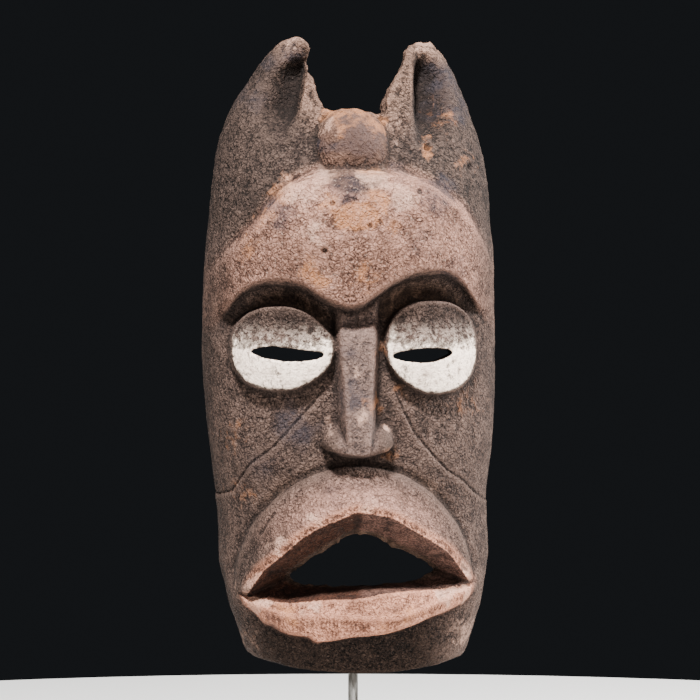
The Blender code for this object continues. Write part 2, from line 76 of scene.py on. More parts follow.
CHIN_LIFT_TOP = 0.05
SIDE_CROWDING = 0.38
BODY_DEPTH = (
    (0.0, 0.525), (0.051, 0.59), (0.128, 0.656), (0.251, 0.689), (0.333, 0.713), (0.436, 0.705),
    (0.531, 0.689), (0.615, 0.721), (0.692, 0.738), (0.769, 0.672), (0.82, 0.574), (0.885, 0.459),
    (0.949, 0.361), (1.0, 0.279),
)
FOREHEAD_DEPTH = (
    (0.53, 0.79), (0.562, 0.82), (0.603, 0.852), (0.667, 0.9), (0.718, 0.892), (0.756, 0.845),
    (0.785, 0.77), (0.84, 0.62),
)
FOREHEAD_SQUARENESS = 2.4
BROW_EDGE = 0.009
BROW_FADE = 0.05
BROW_ENDS = (0.8, 0.92)
BROW_LINE = (
    (-0.95, 0.525), (-0.868, 0.549), (-0.79, 0.577), (-0.703, 0.593), (-0.604, 0.6), (-0.478, 0.6),
    (-0.352, 0.592), (-0.247, 0.578), (-0.143, 0.566), (-0.055, 0.561), (0.037, 0.566), (0.116, 0.578),
    (0.22, 0.596), (0.352, 0.611), (0.473, 0.616), (0.611, 0.613), (0.714, 0.597), (0.784, 0.576),
    (0.868, 0.549), (0.95, 0.525),
)
ARCH_EDGE = 0.02
ARCH_LINE = (
    (-0.95, 0.64), (-0.84, 0.666), (-0.7, 0.698), (-0.56, 0.738), (-0.46, 0.76), (-0.32, 0.777),
    (-0.16, 0.788), (0.1, 0.79), (0.28, 0.784), (0.433, 0.773), (0.625, 0.748), (0.752, 0.722),
    (0.841, 0.692), (0.95, 0.645),
)
LEFT_EYE = {"centre": (-0.49, 0.5045), "half": (0.349, 0.0665), "narrower_above": 0.26}
RIGHT_EYE = {"centre": (0.501, 0.5065), "half": (0.322, 0.0735), "narrower_above": 0.0}
NARROWER_BELOW = 0.2
EYE_SQUARENESS = 2.4
EYE_EDGE_RISE = 0.06
EYE_CROWN = 0.05
EYE_RIM = (0.94, 1.02)
LID_DIP = 0.028
LID_DIP_FROM = (0.1, 0.5)
LID_DIP_TO = (0.55, 0.95)
SOCKET_SINK = 0.075
SOCKET_RIM = (1.0, 1.7)
LEFT_SLIT = (
    (-0.715, 0.5008), (-0.641, 0.5062), (-0.553, 0.508), (-0.435, 0.5052), (-0.317, 0.501), (-0.222, 0.498),
    (-0.213, 0.4945), (-0.272, 0.489), (-0.376, 0.4847), (-0.494, 0.4853), (-0.612, 0.4905),
)
RIGHT_SLIT = (
    (0.21, 0.4934), (0.272, 0.4998), (0.361, 0.5038), (0.449, 0.5052), (0.538, 0.5052), (0.612, 0.5032),
    (0.64, 0.498), (0.582, 0.4908), (0.508, 0.4847), (0.42, 0.4827), (0.317, 0.4847), (0.258, 0.4888),
)
NOSE_RIDGE = (
    (0.33, 0.89), (0.385, 0.872), (0.436, 0.845), (0.487, 0.812), (0.513, 0.79), (0.528, 0.772),
    (0.541, 0.74), (0.58, 0.73),
)
NOSE_HALF_WIDTH = ((0.33, 0.062), (0.37, 0.068), (0.436, 0.082), (0.5, 0.1), (0.58, 0.105))
NOSE_FOOT = 0.341
NOSE_FOOT_EDGE = 0.006
NOSE_FOOT_LIFT = 0.35
NOSE_FLANK = 0.06
WING_RISE = 0.16
WING_SIDE = (0.15, 0.25)
WING_TOP = (0.352, 0.392)
MUZZLE_CENTRE = 0.128
MUZZLE_HALF = (0.8, 0.196)
MUZZLE_RISE = 0.35
MUZZLE_ROUNDNESS = 0.62
MUZZLE_EDGE = 0.01
MOUTH_STEP = 0.004
MOUTH_OVERRUN = 0.3
MOUTH_TOP = (
    (-0.72, 0.1238), (-0.6745, 0.1443), (-0.616, 0.165), (-0.507, 0.1873), (-0.392, 0.2128),
    (-0.276, 0.2312), (-0.147, 0.2444), (-0.02, 0.2565), (0.111, 0.252), (0.2215, 0.246), (0.342, 0.2293),
    (0.4766, 0.2109), (0.595, 0.1924), (0.677, 0.1689), (0.765, 0.1408),
)
LIP_LINE = (
    (-0.72, 0.1238), (-0.615, 0.1212), (-0.5, 0.1161), (-0.371, 0.118), (-0.242, 0.1228),
    (-0.047, 0.1235), (0.082, 0.128), (0.147, 0.1318), (0.342, 0.135), (0.553, 0.1358), (0.696, 0.14),
    (0.765, 0.1408),
)
MOUTH_OUTER = MOUTH_TOP + LIP_LINE[-2:0:-1]
MOUTH_INNER = (
    (-0.438, 0.1496), (-0.405, 0.158), (-0.367, 0.1653), (-0.269, 0.1841), (-0.19, 0.196), (-0.12, 0.2055),
    (-0.07, 0.214), (-0.01, 0.2195), (0.06, 0.218), (0.13, 0.2125), (0.2215, 0.2009), (0.34, 0.188),
    (0.43, 0.1765), (0.48, 0.167), (0.516, 0.1604), (0.46, 0.1545), (0.4, 0.149), (0.29, 0.1442),
    (0.14, 0.142), (0.06, 0.1405), (-0.05, 0.14), (-0.17, 0.1394), (-0.27, 0.1405), (-0.336, 0.142),
    (-0.4, 0.146),
)
LIP_UNDERSIDE = (
    (-0.79, 0.122), (-0.727, 0.105), (-0.662, 0.0943), (-0.616, 0.082), (-0.552, 0.0744), (-0.481, 0.0653),
    (-0.391, 0.0601), (-0.32, 0.0576), (-0.28, 0.0518), (-0.209, 0.0518), (-0.06, 0.0579), (0.096, 0.0617),
    (0.181, 0.064), (0.347, 0.0754), (0.483, 0.0871), (0.625, 0.0993), (0.755, 0.117), (0.8, 0.128),
)
LIP_MIDDLE = 0.01
LIP_HALF_WIDTH = 0.83
LIP_CORNER_DEPTH = 0.46
LIP_REACH = 0.44
LIP_ROUNDNESS = 0.7
LIP_FACET = 0.043
LIP_FALL_ABOVE = 0.045
LIP_FALL_BELOW = 0.02
LIP_END = 0.08
LIP_EDGE = 0.008
LIP_CREASE = (
    (-0.78, 0.121), (-0.661, 0.1123), (-0.563, 0.103), (-0.468, 0.0978), (-0.373, 0.097), (-0.081, 0.097),
    (0.05, 0.0945), (0.277, 0.0977), (0.41, 0.107), (0.553, 0.118), (0.658, 0.127), (0.766, 0.1355),
)
KNOB_CENTRE = (-0.02, 0.807)
KNOB_HALF = (0.245, 0.071)
KNOB_DEPTH = 0.5
KNOB_RISE = 0.225
KNOB_SQUARENESS = 2.3
EAR_GAP = (
    (-0.36, 1.02), (-0.36, 1.0), (-0.33, 0.994), (-0.29, 0.984), (-0.28, 0.977), (-0.305, 0.962),
    (-0.3, 0.941), (-0.272, 0.928), (-0.246, 0.905), (-0.2055, 0.88), (-0.13, 0.874), (0.0, 0.877),
    (0.13, 0.87), (0.212, 0.871), (0.226, 0.896), (0.266, 0.918), (0.32, 0.94), (0.36, 0.959),
    (0.367, 0.9745), (0.401, 0.984), (0.468, 0.991), (0.536, 0.989), (0.59, 1.02),
)
LEFT_SCOOP = {
    "foot": (0.825, 0.895),
    "crease": ((0.847, 0.466), (0.862, 0.425), (0.894, 0.385), (0.925, 0.358), (0.961, 0.318)),
}
RIGHT_SCOOP = {
    "foot": (0.81, 0.89),
    "crease": ((0.8, 0.435), (0.87, 0.44), (0.93, 0.445), (0.98, 0.45)),
}
SCOOP_WIDTH = ((0.82, 0.2), (0.87, 0.28), (0.92, 0.27), (0.97, 0.18))
SCOOP_TOP = (0.93, 0.99)
SCOOP_WALL = 0.05
SCOOP_DEPTH = 0.17
EAR_BACK = (
    (-0.3, 0.85), (-0.02, 0.872), (0.03, 0.9), (0.08, 0.945), (0.15, 0.985), (0.22, 1.04), (-0.3, 1.04),
)
HOLLOW_SQUARENESS = 3.5
HOLLOW_END_SPREAD = 0.8
HOLLOW_FORM = (
    (0.05, 0.78), (0.12, 0.87), (0.18, 0.905), (0.25, 0.87), (0.33, 0.80), (0.4, 0.755), (0.5, 0.745),
    (0.6, 0.80), (0.67, 0.885), (0.72, 0.87), (0.77, 0.80), (0.85, 0.7),
)
CROWN_HEIGHT = 0.877


def ramp(value, low, high):
    share = np.clip((value - low) / (high - low), 0.0, 1.0)
    return share * share * (3 - 2 * share)


def through(stations, at):
    """A smooth curve through (place, value) stations, read at the places given."""
    places, values = np.array(stations, float).T
    slopes = np.gradient(values, places)
    at = np.clip(at, places[0], places[-1])
    i = np.clip(np.searchsorted(places, at, side="right") - 1, 0, len(places) - 2)
    gap = places[i + 1] - places[i]
    t = (at - places[i]) / gap
    start = (2 * t**3 - 3 * t**2 + 1) * values[i] + (t**3 - 2 * t**2 + t) * gap * slopes[i]
    end = (3 * t**2 - 2 * t**3) * values[i + 1] + (t**3 - t**2) * gap * slopes[i + 1]
    return start + end


def rounding(share, squareness):
    inside = 1 - np.clip(np.abs(share), 0, 1) ** squareness
    return np.maximum(inside, 0) ** (1 / squareness)


def edge_share(s, t):
    """0 on the leaning middle line and 1 at the outline."""
    return (s - through(LEAN, t)) / through(OUTLINE, t)


def block(s, t):
    squareness = JAW_SQUARENESS - (JAW_SQUARENESS - BODY_SQUARENESS) * ramp(t, JAW_TOP, CHEEK_FOOT)
    return through(BODY_DEPTH, t) * rounding(edge_share(s, t), squareness)


def reach_of(centre, half, squareness, s, t):
    """1 on the rim of a squared-off oval, less inside it."""
    wide = np.abs((s - centre[0]) / half[0]) ** squareness
    high = np.abs((t - centre[1]) / half[1]) ** squareness
    return (wide + high) ** (1 / squareness)


def eye_reach(eye, s, t):
    wide = (s - eye["centre"][0]) / eye["half"][0]
    high = (t - eye["centre"][1]) / eye["half"][1]
    to_nose = ramp(-wide * np.sign(eye["centre"][0]), 0, 1)
    high = high / (1 - to_nose * np.where(high > 0, eye["narrower_above"], NARROWER_BELOW))
    return (np.abs(wide) ** EYE_SQUARENESS + np.abs(high) ** EYE_SQUARENESS) ** (1 / EYE_SQUARENESS)


def muzzle_reach(s, t):
    return reach_of((0, MUZZLE_CENTRE), MUZZLE_HALF, 2, s, t)


def forehead_arch(s):
    return through(ARCH_LINE, s)


def scoop_place(side, scoop, s, t):
    """How far a place is beyond the deepest line of an ear's scoop, and how much scoop it has."""
    beyond = side * s - through(scoop["crease"], t)
    slope = 1 - ramp(beyond, 0, through(SCOOP_WIDTH, t))
    return ramp(beyond, -SCOOP_WALL, 0) * slope * ramp(t, *scoop["foot"]) * (1 - ramp(t, *SCOOP_TOP))


def front(s, t):
    """How far the carved front stands out from the rim plane, all in shares."""
    uncarved = block(s, t)
    depth = uncarved
    for eye in (LEFT_EYE, RIGHT_EYE):
        above = ramp(t, eye["centre"][1], eye["centre"][1] + eye["half"][1])
        depth = depth - SOCKET_SINK * above * (1 - ramp(eye_reach(eye, s, t), *SOCKET_RIM))
    brow = through(BROW_LINE, s)
    brow_edge = BROW_EDGE + BROW_FADE * ramp(np.abs(s), *BROW_ENDS)
    inside = ramp(t - brow, 0, brow_edge) * ramp(forehead_arch(s) - t, 0, ARCH_EDGE)
    forehead = through(FOREHEAD_DEPTH, t) * rounding(edge_share(s, t), FOREHEAD_SQUARENESS)
    depth = depth + inside * np.maximum(forehead - depth, 0)
    for eye in (LEFT_EYE, RIGHT_EYE):
        reach = eye_reach(eye, s, t)
        half_up = (t - eye["centre"][1]) / eye["half"][1]
        dip = LID_DIP * ramp(half_up, *LID_DIP_FROM) * (1 - ramp(half_up, *LID_DIP_TO))
        lid = uncarved + EYE_EDGE_RISE + EYE_CROWN * np.maximum(1 - reach**2, 0) - dip
        depth = depth + (1 - ramp(reach, *EYE_RIM)) * (lid - depth)
    muzzle = muzzle_reach(s, t) ** 2
    mouth_line = through(LIP_LINE, s)
    rise = MUZZLE_RISE * np.maximum(1 - muzzle, 0) ** MUZZLE_ROUNDNESS
    depth = depth + rise * ramp(t - mouth_line, 0, MUZZLE_EDGE)
    share = np.clip((s - LIP_MIDDLE) / LIP_HALF_WIDTH, -1, 1)
    crease = through(LIP_CREASE, s)
    lip = LIP_CORNER_DEPTH + LIP_REACH * (1 - share**2) ** LIP_ROUNDNESS
    lip = lip - LIP_FALL_ABOVE * np.maximum((t - crease) / (mouth_line - crease), 0)
    lip = lip - LIP_FALL_BELOW * np.maximum((crease - t) / LIP_FACET, 0)
    inside = ramp(t - through(LIP_UNDERSIDE, s), 0, LIP_EDGE) * (1 - ramp(np.abs(share), 1 - LIP_END, 1))
    inside = inside * (1 - ramp(t - mouth_line, MOUTH_STEP, MOUTH_STEP + LIP_EDGE))
    depth = depth + inside * np.maximum(lip - depth, 0)
    half = through(NOSE_HALF_WIDTH, t)
    flank = 1 - ramp(np.abs(s), half, half + NOSE_FLANK)
    nose = depth + flank * np.maximum(through(NOSE_RIDGE, t) - depth, 0)
    wing = (1 - ramp(np.abs(s), *WING_SIDE)) * (1 - ramp(t, *WING_TOP))
    nose = np.maximum(nose, depth + WING_RISE * wing)
    inside = ramp(t - NOSE_FOOT_LIFT * s**2, NOSE_FOOT - NOSE_FOOT_EDGE, NOSE_FOOT)
    inside = inside * (1 - ramp(t, brow - BROW_EDGE, brow + BROW_EDGE))
    depth = depth + inside * (nose - depth)
    for side, scoop in ((-1, LEFT_SCOOP), (1, RIGHT_SCOOP)):
        depth = depth - SCOOP_DEPTH * scoop_place(side, scoop, s, t)
    knob_reach = reach_of(KNOB_CENTRE, KNOB_HALF, KNOB_SQUARENESS, s, t)
    knob = KNOB_DEPTH + KNOB_RISE * rounding(knob_reach, KNOB_SQUARENESS)
    depth = np.where(knob_reach < 1, np.maximum(depth, knob), depth)
    return np.where(uncarved > 0, np.maximum(depth, 0), 0)


def in_frame(x, z, depth):
    return np.stack([x, RIM_BEHIND - np.asarray(depth), z + CHIN_HEIGHT], axis=-1)


def new_object(name, points, faces):
    mesh = bpy.data.meshes.new(name)
    mesh.from_pydata([tuple(point) for point in points], [], faces)
    bm = bmesh.new()
    bm.from_mesh(mesh)
    bmesh.ops.recalc_face_normals(bm, faces=bm.faces)
    bm.to_mesh(mesh)
    bm.free()
    made = bpy.data.objects.new(name, mesh)
    bpy.context.scene.collection.objects.link(made)
    return made


def section_shares(columns):
    """Places across half a section, closer together in front than on the sides."""
    angle = np.linspace(0, math.pi / 2, 2000)
    x = np.sin(angle) ** (2 / BODY_SQUARENESS)
    y = np.cos(angle) ** (2 / BODY_SQUARENESS)
    length = np.concatenate([[0], np.cumsum(np.hypot(np.diff(x), np.diff(y)))])
    place = np.linspace(-1, 1, columns + 1)
    wanted = length[-1] * ((1 - SIDE_CROWDING) * np.abs(place) + SIDE_CROWDING * np.abs(place) ** 3)
    return np.sign(place) * np.interp(wanted, length, x)


def carved_block(columns, rows):
    level = np.repeat(np.linspace(0, 1, rows + 1), columns + 1)
    share = np.tile(section_shares(columns), rows + 1)
    s = share * through(OUTLINE, level) + through(LEAN, level)
    t = level + CHIN_CORNER_LIFT * share**2 * np.maximum(1 - level / CHIN_LIFT_TOP, 0) ** 2
    points = in_frame(s * HALF_WIDTH, t * MASK_HEIGHT, front(s, level) * MASK_DEPTH)
    first = [r * (columns + 1) + c for r in range(rows) for c in range(columns)]
    faces = [(i, i + 1, i + columns + 2, i + columns + 1) for i in first]
    faces.append(tuple(range(columns + 1)))
    faces.append(tuple(range(rows * (columns + 1), (rows + 1) * (columns + 1))))
    left = [r * (columns + 1) for r in range(rows + 1)]
    faces.append(tuple(left + [i + columns for i in reversed(left)]))
    return new_object("mask_form", points, faces)


def loft(name, rings):
    """A closed solid through rings of equally many points, with a fan over each end."""
    count = len(rings[0])
    faces = []
    for ring in range(len(rings) - 1):
        for i in range(count):
            j = (i + 1) % count
            low, high = ring * count, (ring + 1) * count
            faces.append((low + i, low + j, high + j, high + i))
    middle = len(rings) * count
    last = (len(rings) - 1) * count
    faces += [(i, (i + 1) % count, middle) for i in range(count)]
    faces += [(last + i, last + (i + 1) % count, middle + 1) for i in range(count)]
    points = np.concatenate([*rings, [rings[0].mean(axis=0)], [rings[-1].mean(axis=0)]])
    return new_object(name, points, faces)


def hollow_size(z):
    """Half width and depth of the hollow at a height above the chin, in metres."""
    ceiling = CROWN_HEIGHT * MASK_HEIGHT - CROWN_WALL
    height = (z - (CHIN_FLOOR + ceiling) / 2) / ((ceiling - CHIN_FLOOR) / 2)
    closing = rounding(height, HOLLOW_SQUARENESS)
    wide = (through(OUTLINE, z / MASK_HEIGHT) * HALF_WIDTH - RIM_WALL) * closing
    deep = (through(HOLLOW_FORM, z / MASK_HEIGHT) * MASK_DEPTH - FACE_WALL) * closing
    return np.maximum(wide, 1e-6), np.maximum(deep, 1e-6)


def hollow_cutter(segments, rings):
    ceiling = CROWN_HEIGHT * MASK_HEIGHT - CROWN_WALL
    turn = np.linspace(0, 2 * math.pi, segments, endpoint=False)
    sections = []
    for height in np.sin(np.linspace(-math.pi / 2, math.pi / 2, rings))[1:-1]:
        height = math.copysign(abs(height) ** HOLLOW_END_SPREAD, height)
        z = (CHIN_FLOOR + ceiling) / 2 + (ceiling - CHIN_FLOOR) / 2 * height
        wide, deep = hollow_size(z)
        x = wide * np.sign(np.sin(turn)) * np.abs(np.sin(turn)) ** (2 / BODY_SQUARENESS)
        x = x + through(LEAN, z / MASK_HEIGHT) * HALF_WIDTH
        forward = np.cos(turn)
        depth = np.where(forward > 0, deep * np.abs(forward) ** (2 / BODY_SQUARENESS), RIM_WALL * forward)
        sections.append(in_frame(x, np.full(segments, z), depth))
    return loft("hollow", sections)


def hollow_depth(s, t):
    wide, deep = hollow_size(t * MASK_HEIGHT)
    return deep * rounding((s - through(LEAN, t)) * HALF_WIDTH / wide, BODY_SQUARENESS)


def straight_cutter(name, outline, near, far):
    points = np.array(outline)
    x, z = points[:, 0] * HALF_WIDTH, points[:, 1] * MASK_HEIGHT
    return loft(name, [in_frame(x, z, np.full(len(x), depth)) for depth in (near, far)])


def mouth_ring(outline, depth):
    """Points of an outline with their depths, in metres across, up and out of the rim plane."""
    return np.stack([outline[:, 0] * HALF_WIDTH, outline[:, 1] * MASK_HEIGHT, depth], axis=-1)


def mouth_cutter():
    outer, inner = np.array(MOUTH_OUTER), np.array(MOUTH_INNER)
    above = outer[:, 1] - through(LIP_LINE, outer[:, 0]) > MOUTH_STEP
    beside = outer[:, 1] + np.where(above, MOUTH_STEP, -MOUTH_STEP)
    lips = mouth_ring(outer, front(outer[:, 0], beside) * MASK_DEPTH)
    back = mouth_ring(inner, hollow_depth(inner[:, 0], inner[:, 1]))
    ahead, beyond = lips.copy(), back + MOUTH_OVERRUN * (back - lips)
    ahead[:, 2] = MASK_DEPTH + RIM_WALL
    return loft("mouth", [in_frame(*ring.T) for ring in (ahead, lips, beyond)])


def ear_back_cutter():
    points = np.array(EAR_BACK)
    depth, z = points[:, 0] * MASK_DEPTH, points[:, 1] * MASK_HEIGHT
    reach = HALF_WIDTH + RIM_WALL
    return loft("ear_backs", [in_frame(np.full(len(z), x), z, depth) for x in (-reach, reach)])


def round_ring(radius, height, sides):
    """Points round the rod's axis at one height."""
    turn = np.linspace(0, 2 * math.pi, sides, endpoint=False)
    return np.stack([np.cos(turn) * radius, np.sin(turn) * radius, np.full(sides, height)], axis=-1)


def bore_cutter():
    return loft("bore", [round_ring(BORE_RADIUS, z, 32) for z in (CHIN_HEIGHT - RIM_WALL, BORE_TOP)])


def applied(made, name):
    """A new mesh object from one with its modifiers, which takes its place."""
    bpy.context.view_layer.update()
    mesh = bpy.data.meshes.new_from_object(made.evaluated_get(bpy.context.evaluated_depsgraph_get()))
    bpy.data.objects.remove(made)
    mesh.name = name
    result = bpy.data.objects.new(name, mesh)
    bpy.context.scene.collection.objects.link(result)
    return result


def with_fewer_faces(made, triangles):
    has = sum(len(face.vertices) - 2 for face in made.data.polygons)
    made.modifiers.new("fewer faces", "DECIMATE").ratio = min(1.0, triangles / has)


VOXEL = 0.00095
form = carved_block(300, 460)
with_fewer_faces(form, 60000)
near = MASK_DEPTH + RIM_WALL
cutters = [
    straight_cutter("ear_gap", EAR_GAP, near, -RIM_WALL),
    ear_back_cutter(),
    hollow_cutter(72, 44),
    mouth_cutter(),
    straight_cutter("left_slit", LEFT_SLIT, near, RIM_WALL),
    straight_cutter("right_slit", RIGHT_SLIT, near, RIM_WALL),
    bore_cutter(),
]
for cutter in cutters:
    cut = form.modifiers.new(cutter.name, "BOOLEAN")
    cut.operation = "DIFFERENCE"
    cut.object = cutter
voxels = form.modifiers.new("even mesh", "REMESH")
voxels.mode = "VOXEL"
voxels.voxel_size = VOXEL
softened = form.modifiers.new("worn edges", "SMOOTH")
softened.factor = 0.5
softened.iterations = 3
mask = applied(form, "carved_mask")
for cutter in cutters:
    bpy.data.objects.remove(cutter)


# Marks on the mask are placed as seen from the front: across in shares of its half width, and up in
# shares of its height.

def places(mesh):
    co = np.empty(len(mesh.vertices) * 3)
    mesh.vertices.foreach_get("co", co)
    co = co.reshape(-1, 3)
    normal = np.empty(len(mesh.vertices) * 3)
    mesh.vertices.foreach_get("normal", normal)
    return co, normal.reshape(-1, 3)


def cloud(co, size, seed):
    """Smooth noise from -1 to 1 with lumps of the size given, in metres."""
    moved = co / size + seed * 17.31
    return np.array([noise.noise(point) for point in moved.tolist()])


def distance_to(line, s, t):
    """Distance in metres to a line of (across, up) shares, and on which side of it."""
    x, z = s * HALF_WIDTH, t * MASK_HEIGHT
    points = np.array(line) * (HALF_WIDTH, MASK_HEIGHT)
    best = np.full(len(x), 9.0)
    side = np.zeros(len(x))
    for (ax, az), (bx, bz) in zip(points, points[1:]):
        dx, dz = bx - ax, bz - az
        along = np.clip(((x - ax) * dx + (z - az) * dz) / (dx * dx + dz * dz), 0, 1)
        off = np.hypot(x - ax - along * dx, z - az - along * dz)
        closer = off < best
        best = np.where(closer, off, best)
        side = np.where(closer, np.sign(dx * (z - az) - dz * (x - ax)), side)
    return best, side


def inside_outline(outline, s, t):
    crossings = np.zeros(len(s), int)
    for (ax, az), (bx, bz) in zip(outline, outline[1:] + outline[:1]):
        spans = (az > t) != (bz > t)
        cross_at = ax + (t - az) / (bz - az + 1e-12) * (bx - ax)
        crossings += spans & (s < cross_at)
    return crossings % 2 == 1


def spot(s, t, place, size):
    """1 in the middle of a round spot, fading to 0 at its size in metres."""
    off = np.hypot((s - place[0]) * HALF_WIDTH, (t - place[1]) * MASK_HEIGHT)
    return 1 - ramp(off, 0, size)


def swell(value, middle, width):
    """1 where a value is at the middle, fading away to both sides of it."""
    return np.exp(-(((value - middle) / width) ** 2))


CHEEK_LINES = (
    ((-0.278, 0.4227), (-0.55, 0.3518), (-0.70, 0.325), (-0.81, 0.283), (-0.92, 0.274)),
    (
        (0.278, 0.4227), (0.377, 0.375), (0.497, 0.3425), (0.61, 0.316), (0.725, 0.299), (0.80, 0.281),
        (0.9, 0.267),
    ),
)
CHEEK_LINE_DEPTH = 0.0010
CHEEK_STEP = 0.0012
GOUGE_ROW = 0.034
GOUGE_RIDGE = 0.0010
WING_BALLS = (-0.17, 0.17)
WING_BALL_HEIGHT = 0.366
WING_BALL_RISE = 0.0026
MUZZLE_RIDGE = 0.0012
MUZZLE_GROOVE = 0.0008
LIP_CHAMFER = 0.0007
LIP_NOTCH = 0.0005
LIP_CUT = 0.00022
LIP_RIDGE = 0.0008
LID_RIDGE = 0.0009
# Each pit is (across, up, size, depth), the last two in metres.
PITS = (
    (-0.227, 0.653, 0.0016, 0.003), (-0.175, 0.7256, 0.0014, 0.0016), (0.071, 0.691, 0.0014, 0.0016),
    (0.40, 0.7438, 0.0013, 0.0014), (0.484, 0.819, 0.0024, 0.003), (0.79, 0.791, 0.0022, 0.0026),
)
CHIP = ((-0.026, 0.7029), (0.18, 0.029))
CHIP_DEPTH = 0.0006
CRACK = ((-0.54, 0.253), (-0.585, 0.24), (-0.63, 0.222))
CRACK_DEPTH = 0.001
# The relief stays off the wood round the rod's bore, this far out and this far up, in metres.
BORE_KEPT = (0.009, 0.03)
# Each smudge is (across, up, size in metres, strength).
RUBBED = (
    (-0.5, 0.742, 0.014, 0.5), (-0.42, 0.757, 0.012, 0.5), (-0.62, 0.7, 0.013, 0.4),
    (-0.14, 0.858, 0.014, 0.8), (0.15, 0.85, 0.013, 0.7), (0.1, 0.775, 0.01, 0.6),
    (0.62, 0.868, 0.02, 0.35), (0.487, 0.81, 0.01, 0.7), (0.74, 0.8, 0.014, 0.35),
    (0.1, 0.42, 0.012, 0.5), (-0.3, 0.62, 0.013, 0.6), (-0.72, 0.28, 0.02, 0.3),
    (0.2, 0.345, 0.012, 0.4), (0.02, 0.235, 0.008, 0.6), (0.05, 0.6, 0.016, 0.4),
    (0.3, 0.44, 0.014, 0.4), (0.72, 0.42, 0.03, 0.25), (-0.8, 0.37, 0.02, 0.3), (0.2, 0.09, 0.02, 0.4),
    (0.02, 0.868, 0.016, 0.7), (0.14, 0.725, 0.014, 0.6), (0.2, 0.69, 0.012, 0.5),
    (-0.2, 0.72, 0.012, 0.5), (0.36, 0.1, 0.014, 0.5), (-0.45, 0.1, 0.012, 0.5), (0.0, 0.62, 0.012, 0.5),
    (-0.72, 0.66, 0.016, 0.4), (0.16, 0.5, 0.012, 0.4),
)
# Pale worn spots and painted highlights on the lips, ear tips, nose and forehead, as (across, up, size in
# metres, strength).
PALE_WEAR_AND_HIGHLIGHTS = (
    (-0.67, 0.118, 0.013, 1.0), (-0.56, 0.112, 0.01, 0.7), (0.71, 0.137, 0.012, 1.0),
    (0.6, 0.133, 0.011, 0.8), (-0.3, 0.112, 0.012, 0.6), (-0.4, 0.745, 0.018, 0.6),
    (-0.25, 0.765, 0.016, 0.7), (0.12, 0.76, 0.018, 0.6), (0.3, 0.74, 0.02, 0.6),
    (-0.3, 0.68, 0.018, 0.5), (-0.2, 0.845, 0.01, 0.5), (-0.4, 1.0, 0.014, 0.5),
    (0.47, 0.985, 0.012, 0.5), (0.33, 0.86, 0.014, 0.25), (0.28, 0.82, 0.01, 0.3),
    (-0.64, 0.15, 0.012, 0.7), (-0.5, 0.2, 0.01, 0.6), (0.72, 0.16, 0.01, 0.7), (-0.3, 0.24, 0.01, 0.5),
    (0.08, 0.265, 0.014, 0.4), (0.76, 0.06, 0.022, 0.4), (-0.72, 0.05, 0.016, 0.35),
    (0.0, 0.46, 0.008, 0.6), (0.05, 0.4, 0.008, 0.6), (0.2, 0.385, 0.008, 0.7),
    (-0.2, 0.385, 0.008, 0.5),
)
BLUED = (
    (0.62, 0.93, 0.024, 0.8), (0.7, 0.88, 0.022, 0.7), (0.52, 0.88, 0.016, 0.6),
    (-0.56, 0.96, 0.016, 0.6), (0.4, 0.66, 0.022, 0.5), (0.62, 0.62, 0.026, 0.5),
    (-0.1, 0.135, 0.016, 0.5), (-0.55, 0.085, 0.012, 0.5), (-0.05, 0.745, 0.024, 0.9),
    (-0.53, 0.712, 0.02, 0.9), (0.54, 0.738, 0.02, 1.0), (0.3, 0.77, 0.014, 0.6),
    (-0.02, 0.826, 0.02, 1.2), (0.1, 0.828, 0.016, 1.1), (-0.17, 0.815, 0.012, 1.0),
    (-0.03, 0.43, 0.02, 0.8), (-0.04, 0.5, 0.014, 0.7), (-0.42, 0.385, 0.024, 0.9),
    (-0.62, 0.33, 0.018, 0.5), (-0.15, 0.285, 0.022, 0.5), (0.35, 0.29, 0.02, 0.4),
    (-0.66, 0.9, 0.02, 0.6), (0.66, 0.9, 0.02, 0.5), (-0.42, 0.975, 0.014, 0.8), (-0.7, 0.55, 0.02, 0.4),
)


def surfaces(co):
    """Shares across and up of each point, and shares of 1 for the front, the hollow and the mouth's walls."""
    s, t = co[:, 0] / HALF_WIDTH, (co[:, 2] - CHIN_HEIGHT) / MASK_HEIGHT
    depth = RIM_BEHIND - co[:, 1]
    wide, deep = hollow_size(t * MASK_HEIGHT)
    across = np.abs(co[:, 0] - through(LEAN, t) * HALF_WIDTH) / wide
    inwards = np.maximum(depth, 0) / deep
    hollow = 1 - ramp(across**BODY_SQUARENESS + inwards**BODY_SQUARENESS, 1.05, 1.3)
    rim = 1 - ramp(depth, 0.001, 0.004)
    mouth = inside_outline(MOUTH_OUTER, s, t) * (1 - hollow)
    face = (1 - hollow) * (1 - rim) * (1 - mouth)
    return s, t, depth, hollow, rim, mouth, face


